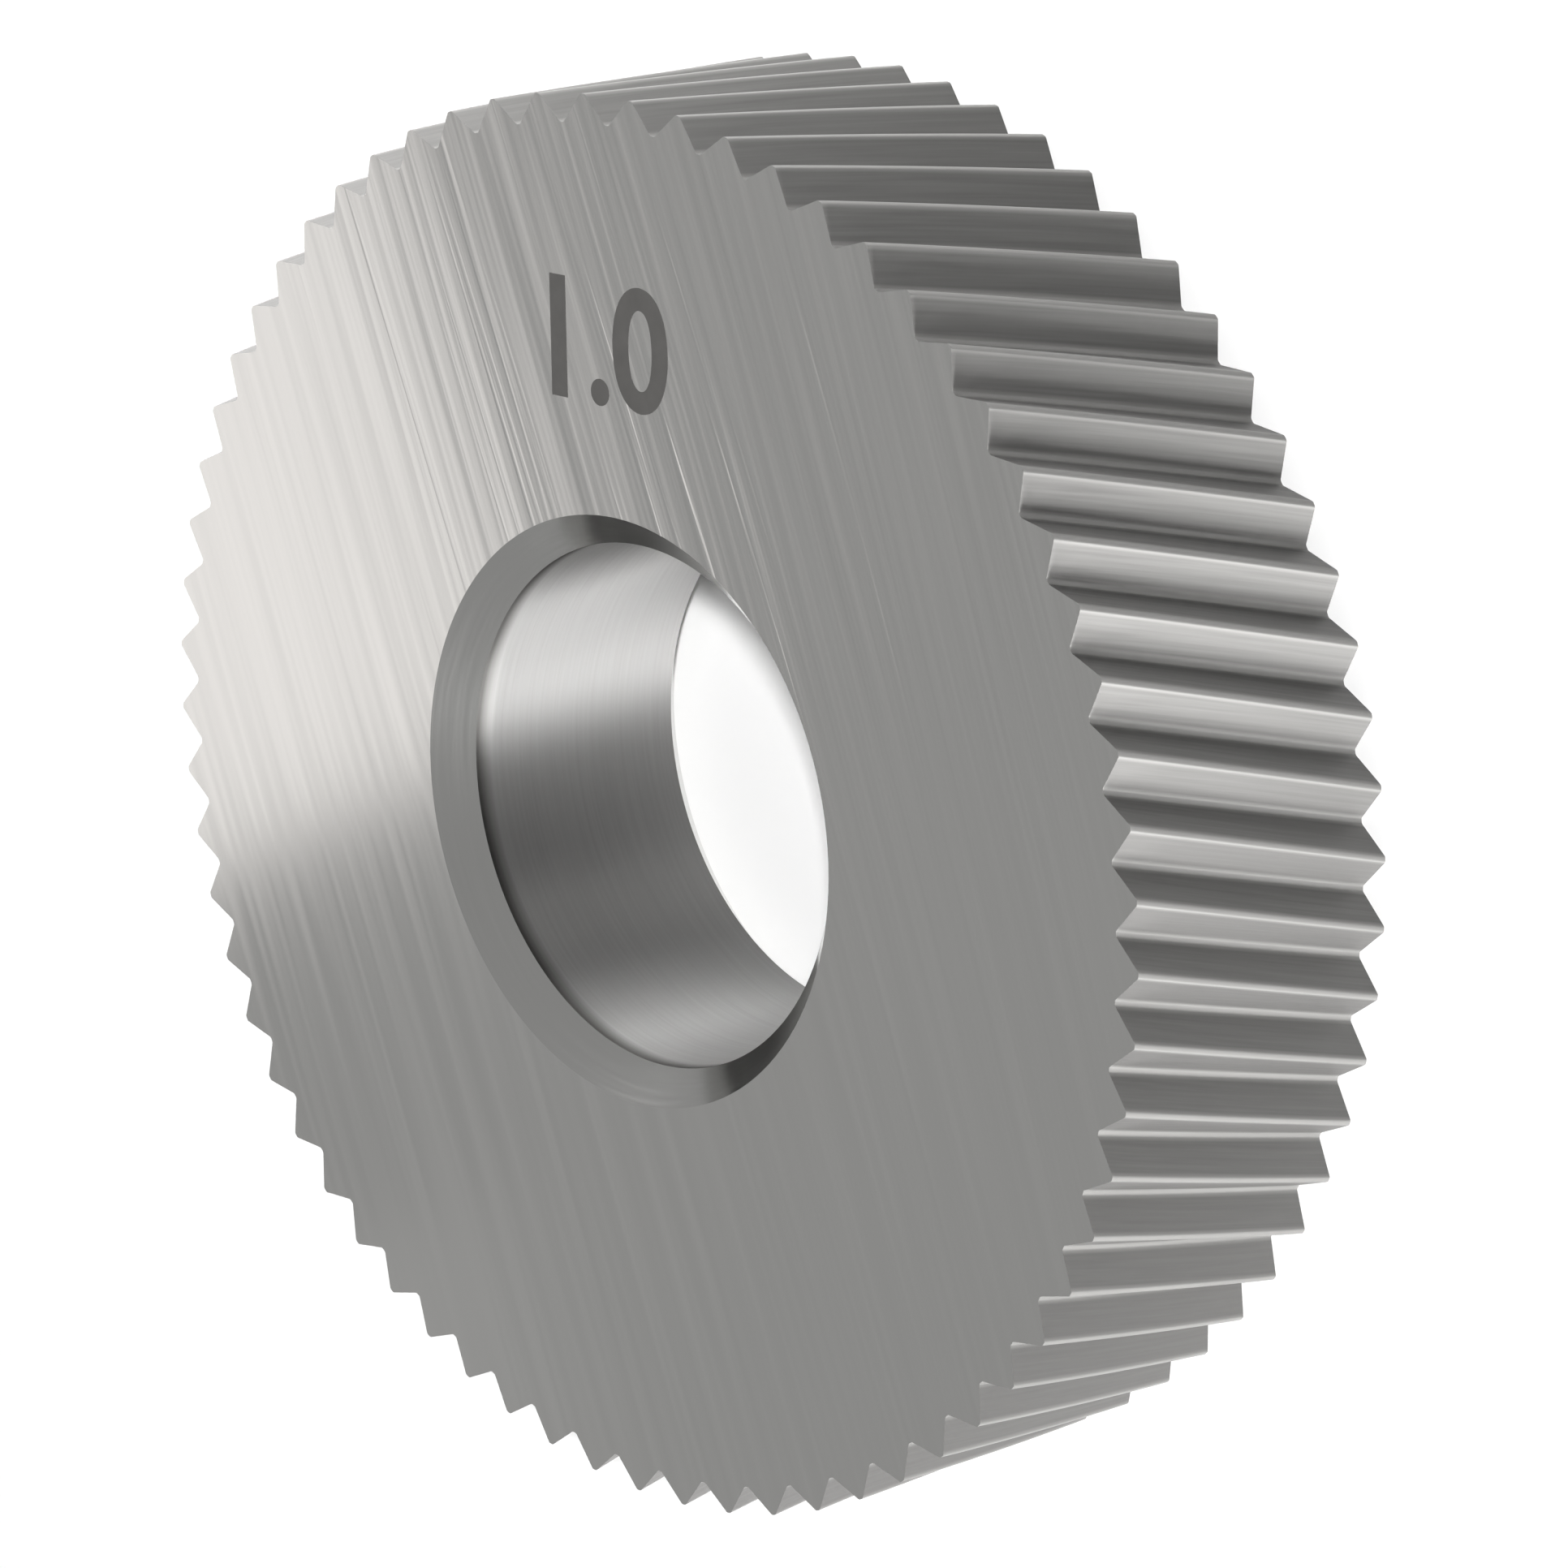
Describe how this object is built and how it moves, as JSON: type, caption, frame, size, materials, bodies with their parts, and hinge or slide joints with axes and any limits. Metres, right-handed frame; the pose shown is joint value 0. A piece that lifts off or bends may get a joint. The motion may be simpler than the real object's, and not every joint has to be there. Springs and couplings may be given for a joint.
{
  "type": "knurling wheel",
  "caption": "Flat steel disc with slanted V-shaped teeth round its rim and a chamfered centre bore, rolled against turned parts to press a grip pattern.",
  "frame": {"origin": "centre of the bore on the back face, on which the wheel lies", "axes": "+Z along the bore axis, out of the front face; +X through the first tooth crest at the back face"},
  "size_m": [0.0214, 0.0214, 0.005],
  "materials": {
    "tool_steel": "ground faces with straight parallel marks, satin bore, bright cut teeth"
  },
  "bodies": {
    "root": {"knurling_wheel": "tool_steel"}
  },
  "joints": []
}
